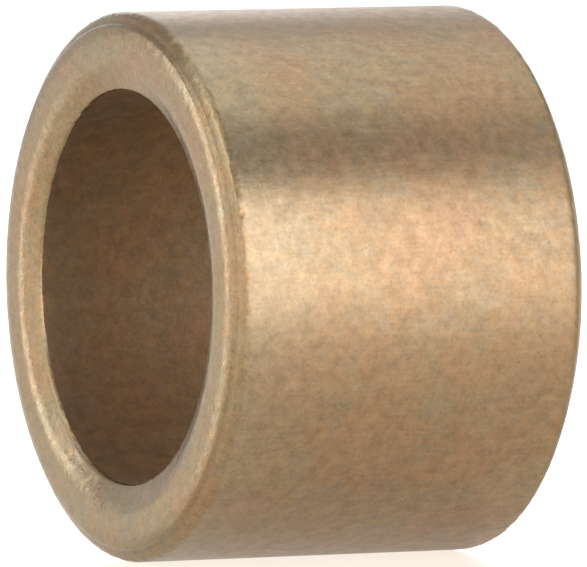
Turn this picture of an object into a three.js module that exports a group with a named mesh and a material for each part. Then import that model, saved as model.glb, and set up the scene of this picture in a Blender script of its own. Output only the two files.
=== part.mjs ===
// Plain sleeve bushing in oil-impregnated sintered bronze, for a 5/8 in shaft.
//
// Bronze powder is pressed to shape in a die with a core rod, sintered, and then squeezed to size
// and soaked in oil, so the whole bushing is one porous piece. The bore runs on the shaft, the
// outside is pressed into a housing, and either flat end can carry a light side load.
//
// Millimetres, +Z up. The bushing lies on its side with its bore along X. The origin is on the
// bore's axis, halfway along the length.
import * as THREE from 'three';

// The shaft and the housing that it is made for, and its length.
const SHAFT_DIAMETER = 15.875; // 5/8 in
const HOUSING_BORE = 22.225; // 7/8 in
const LENGTH = 15.875; // 5/8 in

// What the sizes before fitting differ by, on the diameter.
const RUNNING_CLEARANCE = 0.04;
const PRESS_INTERFERENCE = 0.05;

const BORE_RADIUS = (SHAFT_DIAMETER + RUNNING_CLEARANCE) / 2;
const OUTER_RADIUS = (HOUSING_BORE + PRESS_INTERFERENCE) / 2;

// The punches form both ends alike: an outer chamfer that leads the bushing into its housing, a
// flat end face, and a shallow cone that leads the shaft into the bore.
const CHAMFER = { depth: 0.42, width: 0.6 };
const LEAD_IN = { depth: 0.44, width: 0.88 };

// Pressed edges are never sharp. Each radius rounds one edge of an end, from the bore outwards.
const EDGE_RADII = { bore: 0.16, leadIn: 0.7, face: 0.36, outer: 0.18 };

const SEGMENTS = 96; // round the bushing
const ARC_STEPS = 3; // round each rounded edge

/** One end's four corners, from the bore to the outside: radius from the axis, depth below the end face, and rounding. */
function endCorners() {
  return [
    { radius: BORE_RADIUS, depth: LEAD_IN.depth, rounding: EDGE_RADII.bore },
    { radius: BORE_RADIUS + LEAD_IN.width, depth: 0, rounding: EDGE_RADII.leadIn },
    { radius: OUTER_RADIUS - CHAMFER.width, depth: 0, rounding: EDGE_RADII.face },
    { radius: OUTER_RADIUS, depth: CHAMFER.depth, rounding: EDGE_RADII.outer },
  ];
}

/** The wall's section as corners in order round it. x is the distance from the axis, y the place along it. */
function sectionCorners() {
  const place = (corner, side) => ({
    at: new THREE.Vector2(corner.radius, side * (LENGTH / 2 - corner.depth)),
    rounding: corner.rounding,
  });
  const front = endCorners().map((corner) => place(corner, -1));
  const back = endCorners().map((corner) => place(corner, 1)).reverse();
  return [...front, ...back];
}

/** The points of a true arc that rounds the corner between two straight stretches. */
function roundedCorner(before, corner, after) {
  const backwards = before.at.clone().sub(corner.at).normalize();
  const onwards = after.at.clone().sub(corner.at).normalize();
  const halfAngle = Math.acos(backwards.dot(onwards)) / 2;
  const start = corner.at.clone().addScaledVector(backwards, corner.rounding / Math.tan(halfAngle));
  const middleWay = backwards.clone().add(onwards).normalize();
  const centre = corner.at.clone().addScaledVector(middleWay, corner.rounding / Math.sin(halfAngle));
  const spoke = start.clone().sub(centre);
  const turn = (Math.PI - 2 * halfAngle) * Math.sign(onwards.cross(backwards));
  return Array.from({ length: ARC_STEPS + 1 }, (_, step) =>
    spoke.clone().rotateAround(new THREE.Vector2(), (turn * step) / ARC_STEPS).add(centre));
}

/** The closed outline of the wall, which the lathe turns round the bore's axis. */
function wallSection() {
  const corners = sectionCorners();
  const points = corners.flatMap((corner, i) =>
    roundedCorner(corners.at(i - 1), corner, corners[(i + 1) % corners.length]));
  return [...points, points[0].clone()];
}

const sinteredBronze = new THREE.MeshStandardMaterial({
  name: 'sintered_bronze',
  color: 0xa98a6c,
  roughness: 0.42,
  metalness: 1,
});

const sleeve = new THREE.Mesh(new THREE.LatheGeometry(wallSection(), SEGMENTS), sinteredBronze);
sleeve.name = 'sleeve_bushing';
sleeve.rotation.z = -Math.PI / 2; // the lathe's axis is Y, and the bore lies along X

const bushing = new THREE.Group();
bushing.name = 'plain_sleeve_bushing';
bushing.add(sleeve);

export default bushing;
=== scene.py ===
"""A plain sleeve bushing of oil-impregnated sintered bronze, lying on its side on a light table."""

import math

import bmesh
import bpy
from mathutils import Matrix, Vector


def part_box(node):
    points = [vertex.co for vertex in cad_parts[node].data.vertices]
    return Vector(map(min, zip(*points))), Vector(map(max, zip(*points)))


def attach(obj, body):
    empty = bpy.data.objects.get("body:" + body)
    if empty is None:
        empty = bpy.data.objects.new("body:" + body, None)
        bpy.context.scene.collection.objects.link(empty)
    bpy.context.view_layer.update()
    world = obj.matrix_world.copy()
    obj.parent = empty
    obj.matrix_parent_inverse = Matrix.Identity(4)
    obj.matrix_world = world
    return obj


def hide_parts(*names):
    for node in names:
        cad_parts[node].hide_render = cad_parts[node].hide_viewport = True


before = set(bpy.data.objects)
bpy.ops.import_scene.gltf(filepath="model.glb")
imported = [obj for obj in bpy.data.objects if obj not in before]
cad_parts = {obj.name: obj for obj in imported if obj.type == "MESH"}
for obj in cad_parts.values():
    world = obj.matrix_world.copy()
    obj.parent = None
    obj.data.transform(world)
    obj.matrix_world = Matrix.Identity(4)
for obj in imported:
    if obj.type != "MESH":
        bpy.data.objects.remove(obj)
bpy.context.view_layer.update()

# ------------------------------------------------------------------ bushing
# One tube of bronze powder, pressed in a die round a core rod, sintered, and squeezed to size. The
# die and the rod leave the outside and the bore smooth; the punches leave both ends grainier, each
# with an outer chamfer, a flat ring and a shallow cone that leads into the bore.

MM = 0.001

cad_low, cad_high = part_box("sleeve_bushing")
half_length = cad_high.x
outer_radius = cad_high.z
bore_radius = min(
    math.hypot(v.co.y, v.co.z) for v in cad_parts["sleeve_bushing"].data.vertices
)

# One end of the wall from the outside inwards, in millimetres: how far each step goes in, and how
# far it rises towards the flat end face. A step sinks again where its rise is negative.
OUTER_EDGE = (
    (0, 0.15), (0, 0.06), (0.004, 0.060), (0.010, 0.055), (0.016, 0.045), (0.022, 0.035),
    (0.030, 0.027),
)
CHAMFER = ((0.065, 0.036), (0.065, 0.035), (0.065, 0.034), (0.060, 0.031))
STEP_BELOW_FACE = (
    (0.06, 0.022), (0.05, 0.023), (0.03, 0.025), (0.02, 0.028), (0.02, 0.029), (0.05, 0.034),
)
FACE_EDGE = (
    (0.07, 0.024), (0.10, 0.025), (0.10, 0.021), (0.10, 0.017), (0.10, 0.011), (0.15, 0.005),
)
FACE = ((0.09, 0.0),) * 7
FACE_INNER_EDGE = (
    (0.08, -0.003), (0.08, -0.007), (0.08, -0.011), (0.08, -0.014), (0.08, -0.017),
    (0.08, -0.020), (0.08, -0.024), (0.08, -0.028),
)
LEAD_IN = ((0.08, -0.032),) * 8
BORE_EDGE = ((0.030, -0.018), (0.020, -0.024), (0.012, -0.030))
LAST_DROP = -0.03
BORE_START = ((0, -0.06), (0, -0.15))

wall_steps = [
    (inwards * MM, upwards * MM)
    for inwards, upwards in (
        *OUTER_EDGE, *CHAMFER, *STEP_BELOW_FACE, *FACE_EDGE,
        *FACE, *FACE_INNER_EDGE, *LEAD_IN, *BORE_EDGE,
    )
]
end_depth = sum(upwards for _, upwards in wall_steps if upwards > 0)
# What is left of the wall's thickness goes to the last step, which meets the bore.
wall_left = outer_radius - bore_radius - sum(inwards for inwards, _ in wall_steps)
wall_steps.append((wall_left, LAST_DROP * MM))
wall_steps += [(0, upwards * MM) for _, upwards in BORE_START]

FACES_AROUND = 576
OUTSIDE_CUTS, BORE_CUTS = 24, 20
TOLERANCE = 0.02 * MM


def select(elements, belongs):
    """Selects, in edit mode, only the elements that pass the test."""
    shape = bmesh.from_edit_mesh(bpy.context.object.data)
    bpy.ops.mesh.select_all(action="DESELECT")
    for element in getattr(shape, elements):
        if belongs(element):
            element.select_set(True)
    bmesh.update_edit_mesh(bpy.context.object.data)


def radius(point):
    """How far a point is from the bore's axis."""
    return math.hypot(point.y, point.z)


def depth(point):
    """How far a point lies below the nearer end of the bushing."""
    return half_length - abs(point.x)


# A plug of the outside's size, whose ends are drawn in ring by ring until they meet as the bore.
bpy.ops.object.select_all(action="DESELECT")
bpy.ops.mesh.primitive_cylinder_add(
    vertices=FACES_AROUND,
    radius=outer_radius,
    depth=2 * (half_length - end_depth),
    rotation=(0, math.pi / 2, 0),
)
bushing = bpy.context.object
bushing.name = bushing.data.name = "bushing"
bpy.ops.object.transform_apply(location=True, rotation=True, scale=True)
bpy.ops.object.mode_set(mode="EDIT")
bpy.ops.mesh.select_mode(type="FACE")
select("faces", lambda face: len(face.verts) > 4)
for inwards, upwards in wall_steps:
    bpy.ops.mesh.inset(thickness=inwards, depth=upwards)
bpy.ops.mesh.bridge_edge_loops()

# Cuts across the two long stretches, the outside and the bore, so that their surface can be uneven.
bpy.ops.mesh.select_mode(type="EDGE")
for stretch_radius, cuts in ((outer_radius, OUTSIDE_CUTS), (bore_radius, BORE_CUTS)):
    select(
        "edges",
        lambda edge: edge.calc_length() > half_length
        and all(abs(radius(v.co) - stretch_radius) < TOLERANCE for v in edge.verts),
    )
    bpy.ops.mesh.subdivide(number_cuts=cuts)

bpy.ops.object.mode_set(mode="OBJECT")
bpy.ops.object.shade_smooth()


def relief(name, size, height, share):
    """Sinks the surface by up to height, in lumps of the given size, where share(point) is over 0."""
    lumps = bpy.data.textures.new(name, "CLOUDS")
    lumps.noise_scale = size
    lumps.noise_depth = 2
    zone = bushing.vertex_groups.new(name=name)
    for vertex in bushing.data.vertices:
        zone.add([vertex.index], share(vertex.co), "REPLACE")
    bpy.ops.object.modifier_add(type="DISPLACE")
    displace = bushing.modifiers[-1]
    displace.texture = lumps
    displace.texture_coords = "LOCAL"
    displace.mid_level = 1
    displace.strength = height
    displace.vertex_group = name
    bpy.ops.object.modifier_apply(modifier=displace.name)


def near(value, centre, reach):
    """1 at the centre, fading to 0 at reach from it."""
    return max(0.0, 1 - abs(value - centre) / reach)


def punched(point):
    """The ends are grainy: almost evenly over them, and no more where the outside and bore start."""
    return near(depth(point), 0, 0.55 * MM) ** 0.3


def nibbled(point):
    """Handling nibbles the chamfer's outer edge, and the bore's edge half as much."""
    chamfer_edge = near(depth(point), 0.40 * MM, 0.30 * MM)
    chamfer_edge *= near(radius(point), outer_radius, 0.18 * MM)
    bore_edge = near(depth(point), 0.45 * MM, 0.25 * MM) * near(radius(point), bore_radius, 0.14 * MM)
    return chamfer_edge + 0.5 * bore_edge


def sized(point):
    """The outside and the bore are very slightly uneven, more so away from the ends."""
    return 1 - near(depth(point), 0, 1.2 * MM)


relief("punched_grain", size=0.34 * MM, height=0.024 * MM, share=punched)
relief("nibbled_edges", size=0.38 * MM, height=0.110 * MM, share=nibbled)
relief("sized_surface", size=1.6 * MM, height=0.008 * MM, share=sized)


def linear(hex_colour):
    """An sRGB hex colour as the linear colour that a shader takes."""
    parts = [int(hex_colour[i : i + 2], 16) / 255 for i in (1, 3, 5)]
    return [c / 12.92 if c <= 0.04045 else ((c + 0.055) / 1.055) ** 2.4 for c in parts] + [1.0]


def node(tree, kind, inputs=(), stops=(), **settings):
    """Adds a node with its settings. inputs maps a socket to a value or to the socket that feeds it."""
    made = tree.nodes.new("ShaderNode" + kind)
    for name, value in settings.items():
        setattr(made, name, value)
    for socket, value in dict(inputs).items():
        if isinstance(value, bpy.types.NodeSocket):
            tree.links.new(value, made.inputs[socket])
        else:
            made.inputs[socket].default_value = value
    for i, (place, colour) in enumerate(stops):
        ramp = made.color_ramp.elements
        stop = ramp[i] if i < 2 else ramp.new(place)
        stop.position, stop.color = place, linear(colour)
    return made


# Powder of about 0.1 mm, with pores as fine between its grains. Both are drawn a little coarser, so
# that they show. The patches are where the tools have rubbed it, and the stains come from sintering.
GRAIN, PATCH, STAIN = 0.15 * MM, 0.55 * MM, 3.5 * MM
PORE_SPACING, WIDE_PORE_SPACING = 0.16 * MM, 0.45 * MM
MARK_LENGTH, MARK_WIDTH = 2.5 * MM, 0.15 * MM

# The metal's colours, from its coolest patches to its warmest, then what the stains turn them to, the
# painted highlight on the outside's front end, the painted shade in the bore's front end, and the dark
# of the oil in the pores, which also paints the shade at the foot of the chamfer.
SIZED_TONES = ((0.35, "#927f69"), (0.47, "#967e61"), (0.57, "#9a7c5c"), (0.68, "#9c8369"))
PRESSED_TONES = ((0.34, "#8c7e66"), (0.47, "#917d5f"), (0.58, "#967b58"), (0.70, "#9a8265"))
BORE_TONES = ((0.34, "#9e8770"), (0.47, "#a38768"), (0.58, "#a9855f"), (0.70, "#ad8c6b"))
STAIN_TONES = ((0.36, "#8e8163"), (0.62, "#9e7a66"))
PAINTED_HIGHLIGHT_TONE, PAINTED_BORE_SHADE_TONE, PORE_OIL_AND_PAINTED_SHADE = "#96886f", "#5a4836", "#4a3a2a"
HUE_FROM_STAINS, STAIN_SHARE = 0.35, 0.18

# The shades of the darkest and lightest grains, over the range that the noise keeps to.
DARKEST, LIGHTEST = 0.61, 1.12
NOISE_LOW, NOISE_HIGH = 0.3, 0.7

# How far the oil darkens a fine pore and a wide one, how far painted shade darkens the foot of the
# chamfer at that radius, and the share of the wide pores that are closed.
FINE_PORE, WIDE_PORE, CHAMFER_FOOT_SHADE = 0.14, 0.32, 0.2
CLOSED_PORES = 0.62
PORE_SINK = 0.2
FINE_PORE_REACH = 0.5  # in pore spacings, as the next two are
WIDE_PORE_CORE, WIDE_PORE_REACH = 0.02, 0.2
CHAMFER_FOOT, CHAMFER_FOOT_SHADE_REACH = 10.72 * MM, 0.14 * MM

# The painted highlight on the outside's front end, and the painted shade in the bore's, fade out over
# this length.
# The metal is glossier in one patch than in the next, and gets a little duller towards the far end.
END_LENGTH = 5 * MM
GLOSS_SWING, FAR_END_DULLING = 0.06, 0.11


def tool_marks(tree, place, from_axis):
    """Faint marks along the bore, or in rings round it on the ends, where from_axis is given."""
    if from_axis is not None:
        rings = node(tree, "Math", {0: from_axis, 1: 1 / MARK_WIDTH}, operation="MULTIPLY")
        drift = node(tree, "Mapping", {"Vector": place, "Scale": (1 / MARK_LENGTH,) * 3})
        drawn = node(tree, "VectorMath", {0: drift.outputs[0], 1: rings.outputs[0]}, operation="ADD")
    else:
        drawn = node(tree, "Mapping", {
            "Vector": place, "Scale": (1 / MARK_LENGTH, 1 / MARK_WIDTH, 1 / MARK_WIDTH),
        })
    marks = node(tree, "TexNoise", {
        "Vector": drawn.outputs[0], "Scale": 1, "Detail": 3, "Roughness": 0.6,
    })
    return marks.outputs["Fac"]


def open_pores(tree, place):
    """Fine pores all over, and wide ones here and there."""
    pits = node(tree, "TexVoronoi", {"Vector": place, "Scale": 1 / PORE_SPACING, "Randomness": 1})
    fine = node(tree, "MapRange", {
        "Value": pits.outputs["Distance"], "From Min": 0.0, "From Max": FINE_PORE_REACH,
        "To Min": FINE_PORE, "To Max": 0.0,
    })
    holes = node(tree, "TexVoronoi", {
        "Vector": place, "Scale": 1 / WIDE_PORE_SPACING, "Randomness": 1,
    })
    hole = node(tree, "MapRange", {
        "Value": holes.outputs["Distance"], "From Min": WIDE_PORE_CORE,
        "From Max": WIDE_PORE_REACH, "To Min": WIDE_PORE, "To Max": 0.0,
    })
    chance = node(tree, "SeparateColor", {"Color": holes.outputs["Color"]})
    is_open = node(tree, "Math", {0: chance.outputs["Red"], 1: CLOSED_PORES}, operation="GREATER_THAN")
    wide = node(tree, "Math", {0: hole.outputs[0], 1: is_open.outputs[0]}, operation="MULTIPLY")
    return node(tree, "Math", {0: fine.outputs[0], 1: wide.outputs[0]}, operation="ADD").outputs[0]


def painted_chamfer_foot_shade(tree, from_axis):
    """Painted shade darkens the foot of the chamfer."""
    off_foot = node(tree, "Math", {0: from_axis, 1: CHAMFER_FOOT}, operation="SUBTRACT")
    distance = node(tree, "Math", {0: off_foot.outputs[0]}, operation="ABSOLUTE")
    return node(tree, "MapRange", {
        "Value": distance.outputs[0], "From Min": 0.0, "From Max": CHAMFER_FOOT_SHADE_REACH,
        "To Min": CHAMFER_FOOT_SHADE, "To Max": 0.0,
    }).outputs[0]


def sintered_bronze(
    name, tones, roughness, graininess, marks, relief_depth, painted_end_tone=PAINTED_HIGHLIGHT_TONE, painted_end_share=0.0,
    ringed=False,
):
    """Tin bronze powder, sintered and sized. Its grains run from copper pink to a greenish grey, in
    soft patches where the tools have worn them smooth, and oil darkens the open pores between them.
    The tools' marks run along the bore, or in rings round it on an end, where painted shade darkens the
    foot of the chamfer. The front end turns, by the share given, to the tone given: a painted highlight
    on the outside, a painted shade in the bore."""
    material = bpy.data.materials.new(name)
    material.use_nodes = True
    tree = material.node_tree
    place = node(tree, "TexCoord").outputs["Object"]
    along = node(tree, "SeparateXYZ", {"Vector": place}).outputs["X"]
    from_axis = None
    if ringed:
        across = node(tree, "VectorMath", {0: place, 1: (0, 1, 1)}, operation="MULTIPLY")
        length = node(tree, "VectorMath", {0: across.outputs[0]}, operation="LENGTH")
        from_axis = length.outputs["Value"]

    grains = node(tree, "TexNoise", {
        "Vector": place, "Scale": 1 / GRAIN, "Detail": 2, "Roughness": 0.6,
    })
    patches = node(tree, "TexNoise", {
        "Vector": place, "Scale": 1 / PATCH, "Detail": 4, "Roughness": 0.70,
    })
    stains = node(tree, "TexNoise", {
        "Vector": place, "Scale": 1 / STAIN, "Detail": 2, "Roughness": 0.5,
    })
    patch = node(tree, "SeparateColor", {"Color": patches.outputs["Color"]})
    hue = node(tree, "Mix", {
        "Factor": HUE_FROM_STAINS, "A": patch.outputs["Red"], "B": stains.outputs["Fac"],
    })
    tone = node(tree, "ValToRGB", {"Fac": hue.outputs["Result"]}, stops=tones)
    stain = node(tree, "ValToRGB", {"Fac": stains.outputs["Fac"]}, stops=STAIN_TONES)
    stained = node(tree, "Mix", {
        "Factor": STAIN_SHARE, "A": tone.outputs["Color"], "B": stain.outputs["Color"],
    }, data_type="RGBA")
    # Here the front end is mixed towards its painted tone: a highlight on the outside, shade in the
    # bore.
    painted_end_fade = node(tree, "MapRange", {
        "Value": along, "From Min": -half_length, "From Max": END_LENGTH - half_length,
        "To Min": painted_end_share, "To Max": 0,
    })
    toned = node(tree, "Mix", {
        "Factor": painted_end_fade.outputs[0], "A": stained.outputs["Result"], "B": linear(painted_end_tone),
    }, data_type="RGBA")

    grainy = node(tree, "Mix", {
        "Factor": graininess, "A": patch.outputs["Green"], "B": grains.outputs["Fac"],
    })
    light = node(tree, "Mix", {
        "Factor": marks, "A": grainy.outputs["Result"], "B": tool_marks(tree, place, from_axis),
    })
    shade = node(tree, "MapRange", {
        "Value": light.outputs["Result"], "From Min": NOISE_LOW, "From Max": NOISE_HIGH,
        "To Min": DARKEST, "To Max": LIGHTEST,
    })
    shaded = node(tree, "VectorMath", {
        0: toned.outputs["Result"], "Scale": shade.outputs[0],
    }, operation="SCALE")

    pore = pore_oil_and_painted_shade = open_pores(tree, place)
    # On the ends, the pores' oil colour also paints shade at the foot of the chamfer.
    if ringed:
        pore_oil_and_painted_shade = node(tree, "Math", {0: pore, 1: painted_chamfer_foot_shade(tree, from_axis)}, operation="ADD").outputs[0]
    colour = node(tree, "Mix", {
        "Factor": pore_oil_and_painted_shade, "A": shaded.outputs[0], "B": linear(PORE_OIL_AND_PAINTED_SHADE),
    }, data_type="RGBA")

    sunk = node(tree, "Math", {
        0: pore, 1: -PORE_SINK, 2: light.outputs["Result"],
    }, operation="MULTIPLY_ADD")
    bump = node(tree, "Bump", {"Height": sunk.outputs[0], "Distance": relief_depth, "Strength": 1.0})
    gloss = node(tree, "MapRange", {
        "Value": patch.outputs["Blue"], "From Min": NOISE_LOW, "From Max": NOISE_HIGH,
        "To Min": roughness - GLOSS_SWING, "To Max": roughness + GLOSS_SWING,
    })
    duller = node(tree, "MapRange", {
        "Value": along, "From Min": -half_length, "From Max": half_length,
        "To Min": 0.0, "To Max": FAR_END_DULLING,
    })
    dulled = node(tree, "Math", {0: gloss.outputs[0], 1: duller.outputs[0]}, operation="ADD")

    shader = tree.nodes["Principled BSDF"]
    shader.inputs["Metallic"].default_value = 1
    tree.links.new(colour.outputs["Result"], shader.inputs["Base Color"])
    tree.links.new(dulled.outputs[0], shader.inputs["Roughness"])
    tree.links.new(bump.outputs[0], shader.inputs["Normal"])
    return material


for finish in (
    # Rubbed smooth by the die, so it is satin, with the faintest grain and marks along it, and a paler,
    # creamier painted highlight on its front end.
    sintered_bronze(
        "sized_sintered_bronze", SIZED_TONES, roughness=0.30, graininess=0.28, marks=0.17,
        relief_depth=0.009 * MM, painted_end_share=0.6,
    ),
    # Only pressed by the punches, so its grain and pores stand out, in faint rings, with painted shade
    # at the foot of the chamfer.
    sintered_bronze(
        "pressed_sintered_bronze", PRESSED_TONES, roughness=0.30, graininess=0.48, marks=0.16,
        relief_depth=0.018 * MM, ringed=True,
    ),
    # Smooth but left dull by the core rod, with painted shade darkening its front end.
    sintered_bronze(
        "bore_sintered_bronze", BORE_TONES, roughness=0.60, graininess=0.34, marks=0.10,
        relief_depth=0.008 * MM, painted_end_tone=PAINTED_BORE_SHADE_TONE, painted_end_share=0.5,
    ),
):
    bushing.data.materials.append(finish)

# The outside keeps the first finish, the punched ends take the second and the bore the third. Both
# sized surfaces are uneven, so a face belongs to one when it is this close to it.
CLOSE_TO_OUTSIDE, CLOSE_TO_BORE = 0.01 * MM, 0.02 * MM
for face in bushing.data.polygons:
    if radius(face.center) < bore_radius + CLOSE_TO_BORE:
        face.material_index = 2
    elif radius(face.center) < outer_radius - CLOSE_TO_OUTSIDE:
        face.material_index = 1

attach(bushing, "root")
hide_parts("sleeve_bushing")

# -------------------------------------------------------------------- floor
# A light table's opal sheet: white acrylic lit from below, which keeps the bushing free of a hard
# shadow and shows softly in its underside.

FLOOR_SIZE = 3.0
SHEET_GLOW = 0.72
bpy.ops.object.select_all(action="DESELECT")
bpy.ops.mesh.primitive_plane_add(size=FLOOR_SIZE, location=(0, 0, cad_low.z))
floor = bpy.context.object
floor.name = "floor"
opal = bpy.data.materials.new("opal_acrylic")
opal.use_nodes = True
acrylic = opal.node_tree.nodes["Principled BSDF"].inputs
acrylic["Base Color"].default_value = linear("#a19d95")
acrylic["Roughness"].default_value = 0.15
acrylic["Emission Color"].default_value = linear("#fff9f1")
acrylic["Emission Strength"].default_value = SHEET_GLOW
floor.data.materials.append(opal)

# ------------------------------------------------------------------- lights
# Nine soft boxes round the bushing in a pale room. The large key on the right makes the broad
# highlight along it, the cool top box the pale band above that, and the narrow rim box on the left
# the bright line round the lead-in. The others fill in the ends, the edges and the far side.

ROOM_BRIGHTNESS = 0.66
world = bpy.data.worlds.new("pale_room")
world.use_nodes = True
world.node_tree.nodes["Background"].inputs["Color"].default_value = linear("#ffffff")
world.node_tree.nodes["Background"].inputs["Strength"].default_value = ROOM_BRIGHTNESS
bpy.context.scene.world = world

# The camera stands on this side of the bushing, turned from -Y towards +X.
VIEW_HEADING = math.radians(-26.404)


def outwards(heading, elevation):
    """The direction from the bushing at this heading, from -Y towards +X, and this far up."""
    level = math.cos(elevation)
    return Vector((math.sin(heading) * level, -math.cos(heading) * level, math.sin(elevation)))


def soft_box(name, heading, elevation, distance, width, height, radiance, colour="#ffffff"):
    """Stands a box at a heading in degrees from the camera's side towards its right, and an
    elevation in degrees above the floor, facing the bushing. Its sizes are in metres."""
    light = bpy.data.lights.new(name, "AREA")
    light.shape = "RECTANGLE"
    light.size, light.size_y = width, height
    light.color = linear(colour)[:3]
    light.energy = radiance * math.pi * width * height
    box = bpy.data.objects.new(name, light)
    bpy.context.scene.collection.objects.link(box)
    way_out = outwards(VIEW_HEADING + math.radians(heading), math.radians(elevation))
    box.location = way_out * distance
    box.rotation_euler = way_out.to_track_quat("Z", "Y").to_euler()
    box.visible_camera = False


# Heading, elevation, distance, width, height, radiance, and the colour where it isn't white.
soft_box("key_box", 36, 12.4, 0.40, 0.46, 0.405, 3.4, "#fafcff")
soft_box("front_box", -13, 12, 0.42, 0.28, 0.34, 1.5)
soft_box("overhead_box", -62, 56, 0.42, 0.32, 0.36, 1.4)
soft_box("top_box", 140, 70, 0.40, 0.34, 0.34, 1.28, "#f7ffff")
soft_box("behind_box", 178, 16, 0.45, 0.40, 0.22, 1.05)
soft_box("left_box", -64, 17, 0.40, 0.44, 0.40, 1.45)
soft_box("rim_box", -108, 6, 0.38, 0.08, 0.14, 5.6, "#edf3ff")
soft_box("back_box", -139, 8, 0.42, 0.20, 0.24, 0.3)
soft_box("far_box", 122, 8, 0.42, 0.30, 0.22, 1.2)

# ------------------------------------------------------------------- camera
# A long lens from half a metre away, looking a little down on the bushing.

VIEW_ELEVATION = math.radians(3.456)
DISTANCE = 0.5458
RIGHT_OF_CENTRE, ABOVE_CENTRE = 0.11 * MM, -0.05 * MM
FOCAL_LENGTH, SENSOR_WIDTH = 823.0, 36

lens = bpy.data.cameras.new("camera")
lens.lens = FOCAL_LENGTH
lens.sensor_width = SENSOR_WIDTH
camera = bpy.data.objects.new("camera", lens)
bpy.context.scene.collection.objects.link(camera)
back = outwards(VIEW_HEADING, VIEW_ELEVATION)
turn = back.to_track_quat("Z", "Y")
camera.rotation_euler = turn.to_euler()
camera.location = back * DISTANCE + turn @ Vector((RIGHT_OF_CENTRE, ABOVE_CENTRE, 0))
bpy.context.scene.camera = camera
bpy.context.scene.view_settings.view_transform = "Standard"
